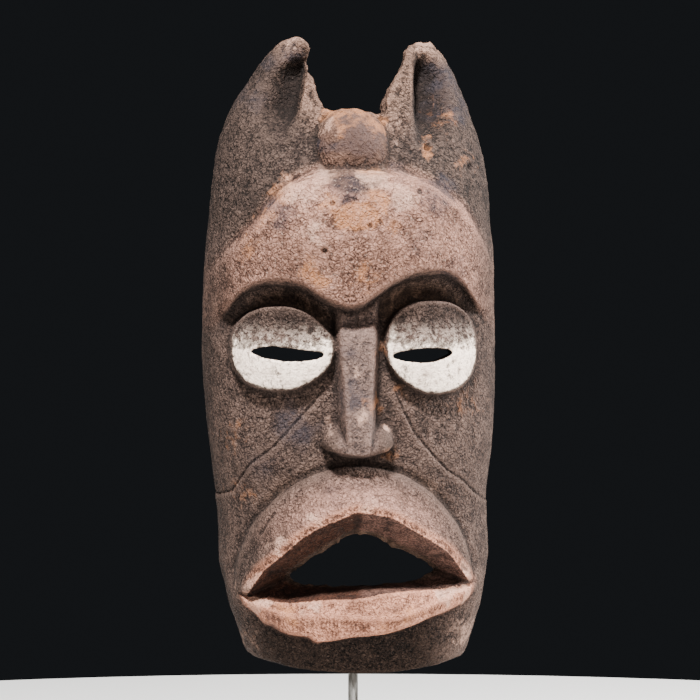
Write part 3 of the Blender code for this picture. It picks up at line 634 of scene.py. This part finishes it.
def relief(co):
    """How far each point is moved along its normal by the finer carving, wear and crust, in metres."""
    s, t, depth, hollow, rim, mouth, face = surfaces(co)
    move = 0.0005 * cloud(co, 0.022, 1) + 0.0003 * cloud(co, 0.009, 2)
    row = co[:, 2] / GOUGE_ROW + 0.5 * cloud(co, 0.03, 3)
    stroke = np.arctan2(co[:, 0], depth) * 6 + 0.37 * np.floor(row) + 0.4 * cloud(co, 0.025, 12)
    gouged = (2 * (stroke % 1) - 1) ** 2 + 0.6 * (row % 1)
    move = move + hollow * GOUGE_RIDGE * (gouged - 0.8)
    for wing in WING_BALLS:
        ball = swell(s, wing, 0.06) * swell(t, WING_BALL_HEIGHT, 0.017)
        move = move + face * WING_BALL_RISE * ball * ramp(t, 0.343, 0.352)
    for line in CHEEK_LINES:
        off, side = distance_to(line, s, t)
        lower = side * (1 if line[0][0] < 0 else -1) > 0
        fade = ramp(t, 0.27, 0.29) if line[0][0] < 0 else ramp(t, 0.26, 0.28)
        groove = -CHEEK_LINE_DEPTH * swell(off, 0, 0.0010)
        step = CHEEK_STEP * np.exp(-off / 0.006) * lower
        move = move + face * (groove + step) * (0.5 + 0.5 * fade)
    arch = muzzle_reach(s, t)
    above_lips = ramp(t, 0.135, 0.17)
    edge = MUZZLE_RIDGE * swell(arch, 0.965, 0.035) - MUZZLE_GROOVE * swell(arch, 1.03, 0.03)
    move = move + face * above_lips * edge
    off, _ = distance_to(MOUTH_TOP, s, t)
    around = np.arctan2(t - 0.1, s * 0.45)
    notches = 0.5 + 0.3 * np.sin(around * 90 + 9 * cloud(co, 0.009, 4)) + 0.7 * cloud(co, 0.0022, 10)
    facet = 1 - ramp(off, 0.0025, 0.0048)
    move = move - face * facet * above_lips * (LIP_CHAMFER + LIP_NOTCH * notches)
    mouth_line = through(LIP_LINE, s)
    lip = face * (1 - ramp(t - mouth_line, -0.014, 0.0)) * (np.abs(s) < 0.74)
    lip = lip * ramp(t - through(LIP_UNDERSIDE, s), 0, 0.006)
    cuts = np.abs(np.sin(s * 130 + 4 * cloud(co * (1, 1, 0.25), 0.008, 5)))
    low_facet = lip * (1 - ramp(t - through(LIP_CREASE, s), -0.004, 0.004))
    move = move - low_facet * LIP_CUT * cuts * (0.35 + 0.65 * ramp(-s, -0.1, 0.05))
    move = move + lip * LIP_RIDGE * swell(t, through(LIP_CREASE, s), 0.006)
    crown = face * ramp(t - forehead_arch(s), 0.0, 0.012) * ramp(t, 0.7, 0.76)
    scoops = scoop_place(-1, LEFT_SCOOP, s, t) + scoop_place(1, RIGHT_SCOOP, s, t)
    knob = 1 - ramp(reach_of(KNOB_CENTRE, KNOB_HALF, KNOB_SQUARENESS, s, t), 0.8, 1.0)
    lumps = cloud(co, 0.0065, 6) + 0.7 * cloud(co, 0.003, 7)
    gap, _ = distance_to(EAR_GAP[1:-1], s, t)
    broken = (1 - ramp(gap, 0.004, 0.010)) * ramp(t, 0.84, 0.87)
    crust = crown * (1 - knob) * (1 - 0.8 * np.clip(scoops, 0, 1)) * (0.0004 + 0.0006 * broken)
    move = move + crust * lumps
    move = move + face * 0.00012 * cloud(co, 0.0022, 8)
    chip = reach_of(*CHIP, 2, s, t) + 0.45 * cloud(co, 0.01, 9) + 0.2 * cloud(co, 0.004, 11)
    move = move - face * CHIP_DEPTH * (1 - ramp(chip, 0.75, 1.05))
    for across, up, size, deep in PITS:
        move = move - face * deep * spot(s, t, (across, up), size * 1.6)
    crack, _ = distance_to(CRACK, s, t)
    move = move - face * CRACK_DEPTH * swell(crack, 0, 0.0009)
    for eye in (LEFT_EYE, RIGHT_EYE):
        reach = eye_reach(eye, s, t)
        top = ramp(t, eye["centre"][1] + 0.02, eye["centre"][1] + 0.05)
        move = move + face * LID_RIDGE * top * swell(reach, 0.93, 0.035)
    near_edge = np.minimum(rim + hollow, 1)
    return move * (1 - 0.7 * rim) - 0.0002 * near_edge


co, normal = places(mask.data)
move = relief(co)
by_bore = np.hypot(co[:, 0], co[:, 1]) < BORE_KEPT[0]
low = co[:, 2] < CHIN_HEIGHT + BORE_KEPT[1]
move = np.where(by_bore & low, 0, move)
mask.data.vertices.foreach_set("co", (co + normal * move[:, None]).ravel())
mask.data.update()
with_fewer_faces(mask, 190000)
mask = applied(mask, "carved_mask")


def cavities(mesh, rounds):
    """How far each point lies in a hollow (positive) or on an edge (negative), in metres."""
    co, normal = places(mesh)
    pairs = np.empty(len(mesh.edges) * 2, int)
    mesh.edges.foreach_get("vertices", pairs)
    a, b = pairs.reshape(-1, 2).T
    count = np.maximum(np.bincount(a, minlength=len(co)) + np.bincount(b, minlength=len(co)), 1)
    smooth = co.copy()
    for _ in range(rounds):
        total = np.zeros_like(smooth)
        for axis in range(3):
            total[:, axis] = np.bincount(a, smooth[b, axis], len(co))
            total[:, axis] += np.bincount(b, smooth[a, axis], len(co))
        smooth = total / count[:, None]
    return ((smooth - co) * normal).sum(axis=1)


def store(mesh, name, values):
    mesh.attributes.new(name, "FLOAT", "POINT").data.foreach_set("value", np.asarray(values, np.float32))


co, normal = places(mask.data)
s, t, depth, hollow, rim, mouth, face = surfaces(co)
kaolin = np.zeros(len(co))
chalk = np.zeros(len(co))
lids = np.zeros(len(co))
for eye in (LEFT_EYE, RIGHT_EYE):
    within = 1 - ramp(eye_reach(eye, s, t), 0.9, 0.99)
    lids = np.maximum(lids, face * within)
    along = np.abs(s - eye["centre"][0]) / eye["half"][0]
    above = t - eye["centre"][1] - 0.002 - 0.014 * along**3
    kaolin = np.maximum(kaolin, face * within * (1 - ramp(above, -0.018, 0.034)))
    chalk = np.maximum(chalk, face * within * (1 - ramp(above, 0.0, 0.045)))
facing = ramp(-normal[:, 1], 0.1, 0.4)
kaolin = kaolin * facing
chalk = chalk * facing
upper_lip = (1 - ramp(distance_to(MOUTH_TOP, s, t)[0], 0.002, 0.007)) * ramp(t, 0.13, 0.16)
over_chin = ramp(t - through(LIP_UNDERSIDE, s), -0.004, 0.006)
lower_lip = (1 - ramp(t - through(LIP_LINE, s), -0.002, 0.012)) * over_chin
lower_lip = lower_lip * (1 - ramp(np.abs(s - 0.015), 0.74, 0.8))
# The chin under the lower lip, which is painted darker as the lip's shade.
chin = face * (1 - over_chin) * (1 - ramp(np.abs(s + 0.05), 0.45, 0.75))
lips = face * np.maximum(upper_lip, lower_lip)
crown = face * ramp(t - forehead_arch(s), -0.004, 0.012) * ramp(t, 0.66, 0.74)
scoops = scoop_place(-1, LEFT_SCOOP, s, t) + scoop_place(1, RIGHT_SCOOP, s, t)
knob = face * (1 - ramp(reach_of(KNOB_CENTRE, KNOB_HALF, KNOB_SQUARENESS, s, t), 0.9, 1.02))
gap, _ = distance_to(EAR_GAP[1:-1], s, t)
crust = crown * (1 - knob) * np.clip(0.15 + 0.9 * (1 - ramp(gap, 0.006, 0.022)), 0, 1)
on_arch = swell(t, forehead_arch(s), 0.012) * (1 - ramp(np.abs(s), 0.6, 0.85))
crust = np.maximum(crust, 0.8 * face * on_arch)
to_edge = np.abs(edge_share(s, t))
forehead = face * ramp(t - through(BROW_LINE, s), -0.002, 0.02)
forehead = forehead * (1 - ramp(t - forehead_arch(s), -0.01, 0.01)) * (1 - 0.8 * ramp(to_edge, 0.7, 0.95))
nose = face * (1 - ramp(np.abs(s), 0.1, 0.16)) * ramp(t, 0.335, 0.35) * (1 - ramp(t, 0.54, 0.57))
muzzle = face * (1 - ramp(muzzle_reach(s, t), 0.7, 1.02)) * ramp(t, 0.17, 0.27)
ragged_s = s + 0.09 * cloud(co, 0.012, 21) + 0.03 * cloud(co, 0.004, 22)
ragged_t = t + 0.02 * cloud(co, 0.012, 23) + 0.007 * cloud(co, 0.004, 24)
worn = 0.85 * (1 - ramp(reach_of(*CHIP, 2, (s + ragged_s) / 2, (t + ragged_t) / 2), 0.3, 1.3))
blued = np.zeros(len(co))
pale_wear_and_highlights = np.zeros(len(co))
for marks, places_of in ((worn, RUBBED), (blued, BLUED), (pale_wear_and_highlights, PALE_WEAR_AND_HIGHLIGHTS)):
    for across, up, size, strength in places_of:
        np.maximum(marks, strength * spot(ragged_s, ragged_t, (across, up), size), out=marks)
masks = {
    "kaolin": kaolin,
    "chalk": chalk,
    "lids": lids,
    "lips": lips,
    "mouth_wall": mouth,
    # Painted light: the mouth's right wall is given a lit copy of the wall's colours.
    "painted_light_right_wall": mouth * ramp(s, 0.0, 0.03),
    "hollow": np.maximum(hollow, rim * (1 - 0.85 * ramp(t, 0.72, 0.86))),
    "crown": crown,
    "scoops": crown * np.clip(scoops * 1.4, 0, 1),
    "knob": knob,
    "crust": crust,
    "forehead": forehead,
    "nose": nose,
    "muzzle": muzzle,
    "chin": chin,
    "worn": face * worn,
    "blued": face * blued,
    "pale_wear_and_highlights": face * pale_wear_and_highlights,
    "cavity": cavities(mask.data, 4) * 1000,
    "shade": cavities(mask.data, 40) * 1000,
}
for name, values in masks.items():
    store(mask.data, name, values)
mask.data.shade_smooth()


class Shade:
    """A shader socket: sums on it add Math nodes, and node() adds a node of any other kind."""

    def __init__(self, tree, socket=None):
        self.tree = tree
        self.socket = socket

    def node(self, kind, settings, inputs, output=0):
        made = self.tree.nodes.new("ShaderNode" + kind)
        for name, value in settings.items():
            setattr(made, name, value)
        for key, value in inputs.items():
            if isinstance(value, Shade):
                self.tree.links.new(value.socket, made.inputs[key])
            else:
                made.inputs[key].default_value = value
        return Shade(self.tree, made.outputs[output])

    def math(self, operation, *values):
        return self.node("Math", {"operation": operation}, dict(enumerate(values)))

    def __add__(self, other):
        return self.math("ADD", self, other)

    def __radd__(self, other):
        return self.math("ADD", other, self)

    def __sub__(self, other):
        return self.math("SUBTRACT", self, other)

    def __rsub__(self, other):
        return self.math("SUBTRACT", other, self)

    def __mul__(self, other):
        return self.math("MULTIPLY", self, other)

    def __rmul__(self, other):
        return self.math("MULTIPLY", other, self)

    def rise(self, low, high):
        """0 below low, 1 above high and smooth between."""
        settings = {"interpolation_type": "SMOOTHSTEP"}
        return self.node("MapRange", settings, {"Value": self, "From Min": low, "From Max": high})

    def mix(self, under, over):
        """The under colour where this is 0 and the over colour where it is 1."""
        return self.node("Mix", {"data_type": "RGBA"}, {"Factor": self, 6: under, 7: over}, 2)

    def stretched(self, across, along, up):
        return self.node("VectorMath", {"operation": "MULTIPLY"}, {0: self, 1: (across, along, up)})

    def grain(self, scale, detail=4.0, roughness=0.55, distortion=0.0):
        form = {"Scale": scale, "Detail": detail, "Roughness": roughness, "Distortion": distortion}
        return self.node("TexNoise", {}, {"Vector": self, **form})

    def painted(self, name):
        """A value stored on the mesh's points."""
        return self.node("Attribute", {"attribute_name": name}, {}, 2)

    def bump(self, distance, strength, under=None):
        inputs = {"Height": self, "Distance": distance, "Strength": strength}
        if under:
            inputs["Normal"] = under
        return self.node("Bump", {}, inputs)


def new_material(name):
    """A material, its shader, and the object coordinates to draw on, in metres."""
    material = bpy.data.materials.new(name)
    material.use_nodes = True
    tree = material.node_tree
    shader = tree.nodes["Principled BSDF"]
    coords = Shade(tree).node("TexCoord", {}, {}, 3)
    return material, shader, coords


def feed(shader, **parts):
    for name, value in parts.items():
        name = name.replace("_", " ")
        if isinstance(value, Shade):
            value.tree.links.new(value.socket, shader.inputs[name])
        else:
            shader.inputs[name].default_value = value


SOOT_AND_PAINTED_SHADE = (0.008, 0.005, 0.004, 1)
BARE_WOOD = (0.33, 0.135, 0.058, 1)
PALE_WOOD_AND_HIGHLIGHT = (0.50, 0.30, 0.22, 1)
BLUE_GREY = (0.024, 0.020, 0.024, 1)
PALE_SCRATCH = (0.25, 0.165, 0.13, 1)
KAOLIN_WHITE = (1.0, 0.80, 0.65, 1)
KAOLIN_GREY = (0.50, 0.38, 0.31, 1)

carved_wood, shader, coords = new_material("carved_wood_with_kaolin")
kaolin = coords.painted("kaolin")
chalk = coords.painted("chalk")
forehead = coords.painted("forehead")
nose = coords.painted("nose")
knob = coords.painted("knob")
worn = coords.painted("worn")
lips = coords.painted("lips")
muzzle = coords.painted("muzzle")
mouth_wall = coords.painted("mouth_wall")
hollow = coords.painted("hollow")
cavity = coords.painted("cavity")
shade = coords.painted("shade")

blued = coords.painted("blued")
pale_wear_and_highlights = coords.painted("pale_wear_and_highlights")

patches = coords.grain(95, 5, 0.6, 0.3)
blotches = coords.grain(210, 3, 0.6, 0.5)
mottle = coords.grain(430, 2, 0.5, 0.6)
grain = coords.grain(900, 1, 0.5, 0.3)
grit = coords.grain(800, 2, 0.6)
wrinkles = coords.node("TexVoronoi", {"feature": "DISTANCE_TO_EDGE"}, {"Vector": coords, "Scale": 330})
fibre = coords.stretched(1.0, 1.0, 0.25).grain(520, 3, 0.6, 0.5)

# Each region of the mask has a darker and a lighter colour, and the grain of the surface mixes the two.
dark, light = (0.0125, 0.0078, 0.0062, 1), (0.108, 0.068, 0.053, 1)
for where, darker, lighter in (
    (coords.painted("crown"), (0.0042, 0.0029, 0.0024, 1), (0.047, 0.032, 0.0265, 1)),
    (coords.painted("crust"), (0.015, 0.009, 0.0068, 1), (0.19, 0.112, 0.080, 1)),
    # The ears' scoops: their dark patina, deepened with painted shade.
    (coords.painted("scoops"), (0.0026, 0.0016, 0.0013, 1), (0.022, 0.0135, 0.0105, 1)),
    # The chin under the lower lip: painted shade from the lip.
    (coords.painted("chin"), (0.0026, 0.0014, 0.001, 1), (0.040, 0.0245, 0.018, 1)),
    (forehead, (0.042, 0.020, 0.0135, 1), (0.34, 0.175, 0.125, 1)),
    (muzzle, (0.075, 0.040, 0.029, 1), (0.33, 0.172, 0.128, 1)),
    (nose, (0.030, 0.020, 0.0175, 1), (0.145, 0.090, 0.072, 1)),
    (knob, (0.0125, 0.0075, 0.006, 1), (0.115, 0.062, 0.043, 1)),
    (coords.painted("lids"), (0.0095, 0.0058, 0.0045, 1), (0.088, 0.056, 0.044, 1)),
    (lips, (0.085, 0.034, 0.020, 1), (0.46, 0.205, 0.13, 1)),
    (mouth_wall, (0.009, 0.0032, 0.0018, 1), (0.055, 0.021, 0.012, 1)),
    # The mouth's right wall: painted light, a lit copy of the mouth wall's colours.
    (coords.painted("painted_light_right_wall"), (0.020, 0.009, 0.0068, 1), (0.12, 0.060, 0.044, 1)),
    (hollow, (0.020, 0.011, 0.0075, 1), (0.11, 0.062, 0.040, 1)),
):
    dark = where.mix(dark, darker)
    light = where.mix(light, lighter)

along_grain = (lips * 0.4 + mouth_wall + hollow).rise(0.0, 1.0)
tone = along_grain.mix(mottle.rise(0.36, 0.64), fibre.rise(0.38, 0.62))
tone = tone * 0.3 + grain.rise(0.38, 0.62) * 0.5
tone = tone + blotches.rise(0.36, 0.64) * 0.25 + patches.rise(0.36, 0.64) * 0.3
tone = (tone - 0.175).rise(-0.05, 1.05)
colour = tone.mix(dark, light)
# Over that lie soot in the wrinkles, smudges, wear, pale worn spots with painted highlights, soot and painted
# shade in the creases and hollows, ridges and edges lightened by wear and a painted highlight, and kaolin on
# the lids.
bare = (1 - along_grain) * (1 - knob * 0.8 - nose * 0.6)
colour = ((1 - wrinkles.rise(0.02, 0.14)) * bare * 0.5).mix(colour, dark)
colour = (coords.grain(32, 3, 0.55, 0.5).rise(0.5, 0.64) * 0.4).mix(colour, dark)
smears = coords.grain(70, 4, 0.6, 0.8)
colour = ((blued + smears * 0.8 - 0.4).rise(0.2, 0.8) * 0.72).mix(colour, BLUE_GREY)
colour = ((worn + blotches * 0.9 - 0.45).rise(0.2, 0.6) * 0.65).mix(colour, BARE_WOOD)
# Pale worn spots, and painted highlights on the lip corners, ear tips and nose.
colour = ((pale_wear_and_highlights + blotches * 0.9 - 0.45).rise(0.2, 0.6) * 0.55).mix(colour, PALE_WOOD_AND_HIGHLIGHT)
colour = ((1 - grit.rise(0.36, 0.46)) * 0.5).mix(colour, dark)
scratches = coords.grain(700, 2, 0.5).rise(0.60, 0.66)
colour = (scratches * (0.1 + forehead * 0.4 + muzzle * 0.2)).mix(colour, PALE_SCRATCH)
# Creases are darkened with soot and painted shade.
colour = (cavity.rise(0.04, 0.2) * 0.6).mix(colour, SOOT_AND_PAINTED_SHADE)
# Ridges and edges are lightened: wear, and a painted highlight.
colour = ((0 - cavity).rise(0.05, 0.2) * (1 - mouth_wall) * (1 - hollow * 0.6) * 0.35).mix(colour, light)
# Broad hollows are darkened with painted shade.
colour = (shade.rise(0.5, 2.6) * 0.1).mix(colour, SOOT_AND_PAINTED_SHADE)
flakes = coords.grain(300, 5, 0.7)
colour = (chalk * flakes.rise(0.42, 0.6) * 0.5).mix(colour, KAOLIN_GREY)
white = (kaolin + flakes * 1.7 + patches * 0.7 - 1.2).rise(0.35, 0.95)
white_colour = coords.grain(190, 5, 0.65).rise(0.46, 0.72).mix(KAOLIN_WHITE, KAOLIN_GREY)
white_colour = ((1 - grain.rise(0.30, 0.46)) * 0.6).mix(white_colour, KAOLIN_GREY)
colour = (white * 0.97).mix(colour, white_colour)
rough_ground = 1 - white * 0.7
relief_normal = (patches * rough_ground).bump(0.003, 0.5)
relief_normal = (blotches * rough_ground).bump(0.002, 0.7, relief_normal)
relief_normal = (mottle * rough_ground).bump(0.0016, 0.9, relief_normal)
relief_normal = (wrinkles.rise(0.0, 0.2) * rough_ground * bare).bump(0.0006, 0.7, relief_normal)
relief_normal = grit.bump(0.0007, 0.7, relief_normal)
relief_normal = (fibre * along_grain).bump(0.001, 0.6, relief_normal)
relief_normal = (white + flakes * 0.8 * (kaolin + chalk)).bump(0.0006, 0.6, relief_normal)
feed(shader, Base_Color=colour, Roughness=0.9 - nose * 0.2 - lips * 0.1, Normal=relief_normal)
feed(shader, Specular_IOR_Level=0.12)
mask.data.materials.clear()
mask.data.materials.append(carved_wood)
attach(mask, "root")
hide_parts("mask")


# The rod: drawn steel, round, pressed up into the chin and down into the foot.
# It is darkened by a worn brown-black finish that leaves streaks of bright steel along its length.

ROD_RADIUS = 0.003
ROD_ENDS = (0.0083, 0.1097)
END_CHAMFER = 0.0004
ROD_SIDES = 64

heights = [ROD_ENDS[0], ROD_ENDS[0] + END_CHAMFER]
heights += list(np.linspace(0.012, 0.106, 80))
heights += [ROD_ENDS[1] - END_CHAMFER, ROD_ENDS[1]]
rings = [round_ring(ROD_RADIUS - END_CHAMFER * (height in ROD_ENDS), height, ROD_SIDES) for height in heights]
rod = loft("steel_rod", rings)
rod.data.shade_smooth()

STEEL_DARK = (0.075, 0.068, 0.060, 1)
STEEL_BRIGHT = (0.34, 0.33, 0.31, 1)

steel, shader, coords = new_material("drawn_steel")
drawn = coords.stretched(1.0, 1.0, 0.03).grain(900, 4, 0.6)
stain = coords.stretched(1.0, 1.0, 0.3).grain(130, 5, 0.6)
colour = stain.rise(0.4, 0.62).mix(STEEL_BRIGHT, STEEL_DARK)
feed(shader, Base_Color=colour, Metallic=1.0, Normal=drawn.bump(0.0002, 0.4))
feed(shader, Roughness=0.3 + stain * 0.25 + drawn * 0.1)
rod.data.materials.append(steel)
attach(rod, "root")
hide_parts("rod")


# The foot: a block of wood, planed flat, its edges eased, painted black.
# It is bored from above for the rod.

FOOT_SIZE = (0.150, 0.120, 0.030)
FOOT_FLOOR = 0.008
EDGE_ROUND = 0.002

bm = bmesh.new()
bmesh.ops.create_cube(bm, size=1)
bmesh.ops.scale(bm, verts=bm.verts, vec=FOOT_SIZE)
bmesh.ops.translate(bm, verts=bm.verts, vec=(0, 0, FOOT_SIZE[2] / 2))
mesh = bpy.data.meshes.new("block_foot")
bm.to_mesh(mesh)
bm.free()
block_foot = bpy.data.objects.new("block_foot", mesh)
bpy.context.scene.collection.objects.link(block_foot)
eased = block_foot.modifiers.new("eased edges", "BEVEL")
eased.width = EDGE_ROUND
eased.segments = 6
hole = loft("foot_hole", [round_ring(BORE_RADIUS, z, ROD_SIDES) for z in (FOOT_FLOOR, 2 * FOOT_SIZE[2])])
cut = block_foot.modifiers.new("hole", "BOOLEAN")
cut.operation = "DIFFERENCE"
cut.object = hole
block_foot = applied(block_foot, "block_foot")
bpy.data.objects.remove(hole)
block_foot.data.shade_smooth()
block_foot.data.set_sharp_from_angle(angle=math.radians(35))

BLACK_PAINT = (0.014, 0.013, 0.012, 1)
GREYED_PAINT = (0.045, 0.042, 0.038, 1)

black_wood, shader, coords = new_material("black_painted_wood")
streaks = coords.stretched(0.12, 1.0, 1.0).grain(260, 6, 0.6, 0.3)
haze = coords.grain(40, 4, 0.6)
colour = (streaks.rise(0.5, 0.75) * 0.6).mix(BLACK_PAINT, GREYED_PAINT)
colour = (haze.rise(0.5, 0.7) * 0.35).mix(colour, GREYED_PAINT)
feed(shader, Base_Color=colour, Roughness=0.38 + haze * 0.25, Normal=streaks.bump(0.0004, 0.5))
block_foot.data.materials.clear()
block_foot.data.materials.append(black_wood)
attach(block_foot, "root")
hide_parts("foot")


# The stage: a round pale floor, a camera level with the mask's middle and a little to the left of
# its front, and soft lights in a dim room, the strongest high in front.

FLOOR_RADIUS = 0.85

angles = np.linspace(0, 2 * math.pi, 96, endpoint=False)
points = [(0, 0, 0)] + [(FLOOR_RADIUS * math.cos(a), FLOOR_RADIUS * math.sin(a), 0) for a in angles]
floor = new_object("floor", points, [(0, i + 1, (i + 1) % len(angles) + 1) for i in range(len(angles))])
paper, shader, coords = new_material("pale_floor")
feed(shader, Base_Color=(0.62, 0.61, 0.59, 1), Roughness=0.9)
floor.data.materials.append(paper)

CAMERA_DISTANCE = 1.95
CAMERA_TURN = math.radians(-3.5)
FRAME_WIDTH = 0.438
AIM_OVER_CHIN = 0.196
AIM = Vector((0, RIM_BEHIND, CHIN_HEIGHT + AIM_OVER_CHIN))
SENSOR_WIDTH = 36
SHIFT_PIXELS = 1.8
PICTURE_PIXELS = 700

camera = bpy.data.objects.new("camera", bpy.data.cameras.new("camera"))
bpy.context.scene.collection.objects.link(camera)
camera.location = AIM + CAMERA_DISTANCE * Vector((math.sin(CAMERA_TURN), -math.cos(CAMERA_TURN), 0))
camera.rotation_euler = (AIM - camera.location).to_track_quat("-Z", "Y").to_euler()
camera.data.sensor_width = SENSOR_WIDTH
camera.data.lens = SENSOR_WIDTH * CAMERA_DISTANCE / FRAME_WIDTH
camera.data.shift_x = SHIFT_PIXELS / PICTURE_PIXELS
bpy.context.scene.camera = camera


def softbox(name, at, aimed, size, power):
    light = bpy.data.lights.new(name, "AREA")
    light.shape = "DISK"
    light.size = size
    light.energy = power
    made = bpy.data.objects.new(name, light)
    bpy.context.scene.collection.objects.link(made)
    made.location = at
    made.rotation_euler = (Vector(aimed) - Vector(at)).to_track_quat("-Z", "Y").to_euler()


softbox("key", (-0.25, -0.95, 1.85), (0, 0, 0.28), 0.26, 185)
softbox("fill", (0.5, -1.6, 0.5), (0, 0, 0.28), 1.0, 17)
softbox("right_edge", (1.15, 0.15, 0.7), (0, 0.05, 0.3), 0.4, 55)

world = bpy.data.worlds.new("studio")
world.use_nodes = True
world.node_tree.nodes["Background"].inputs["Color"].default_value = (0.8, 0.88, 1.0, 1)
world.node_tree.nodes["Background"].inputs["Strength"].default_value = 0.012
bpy.context.scene.world = world
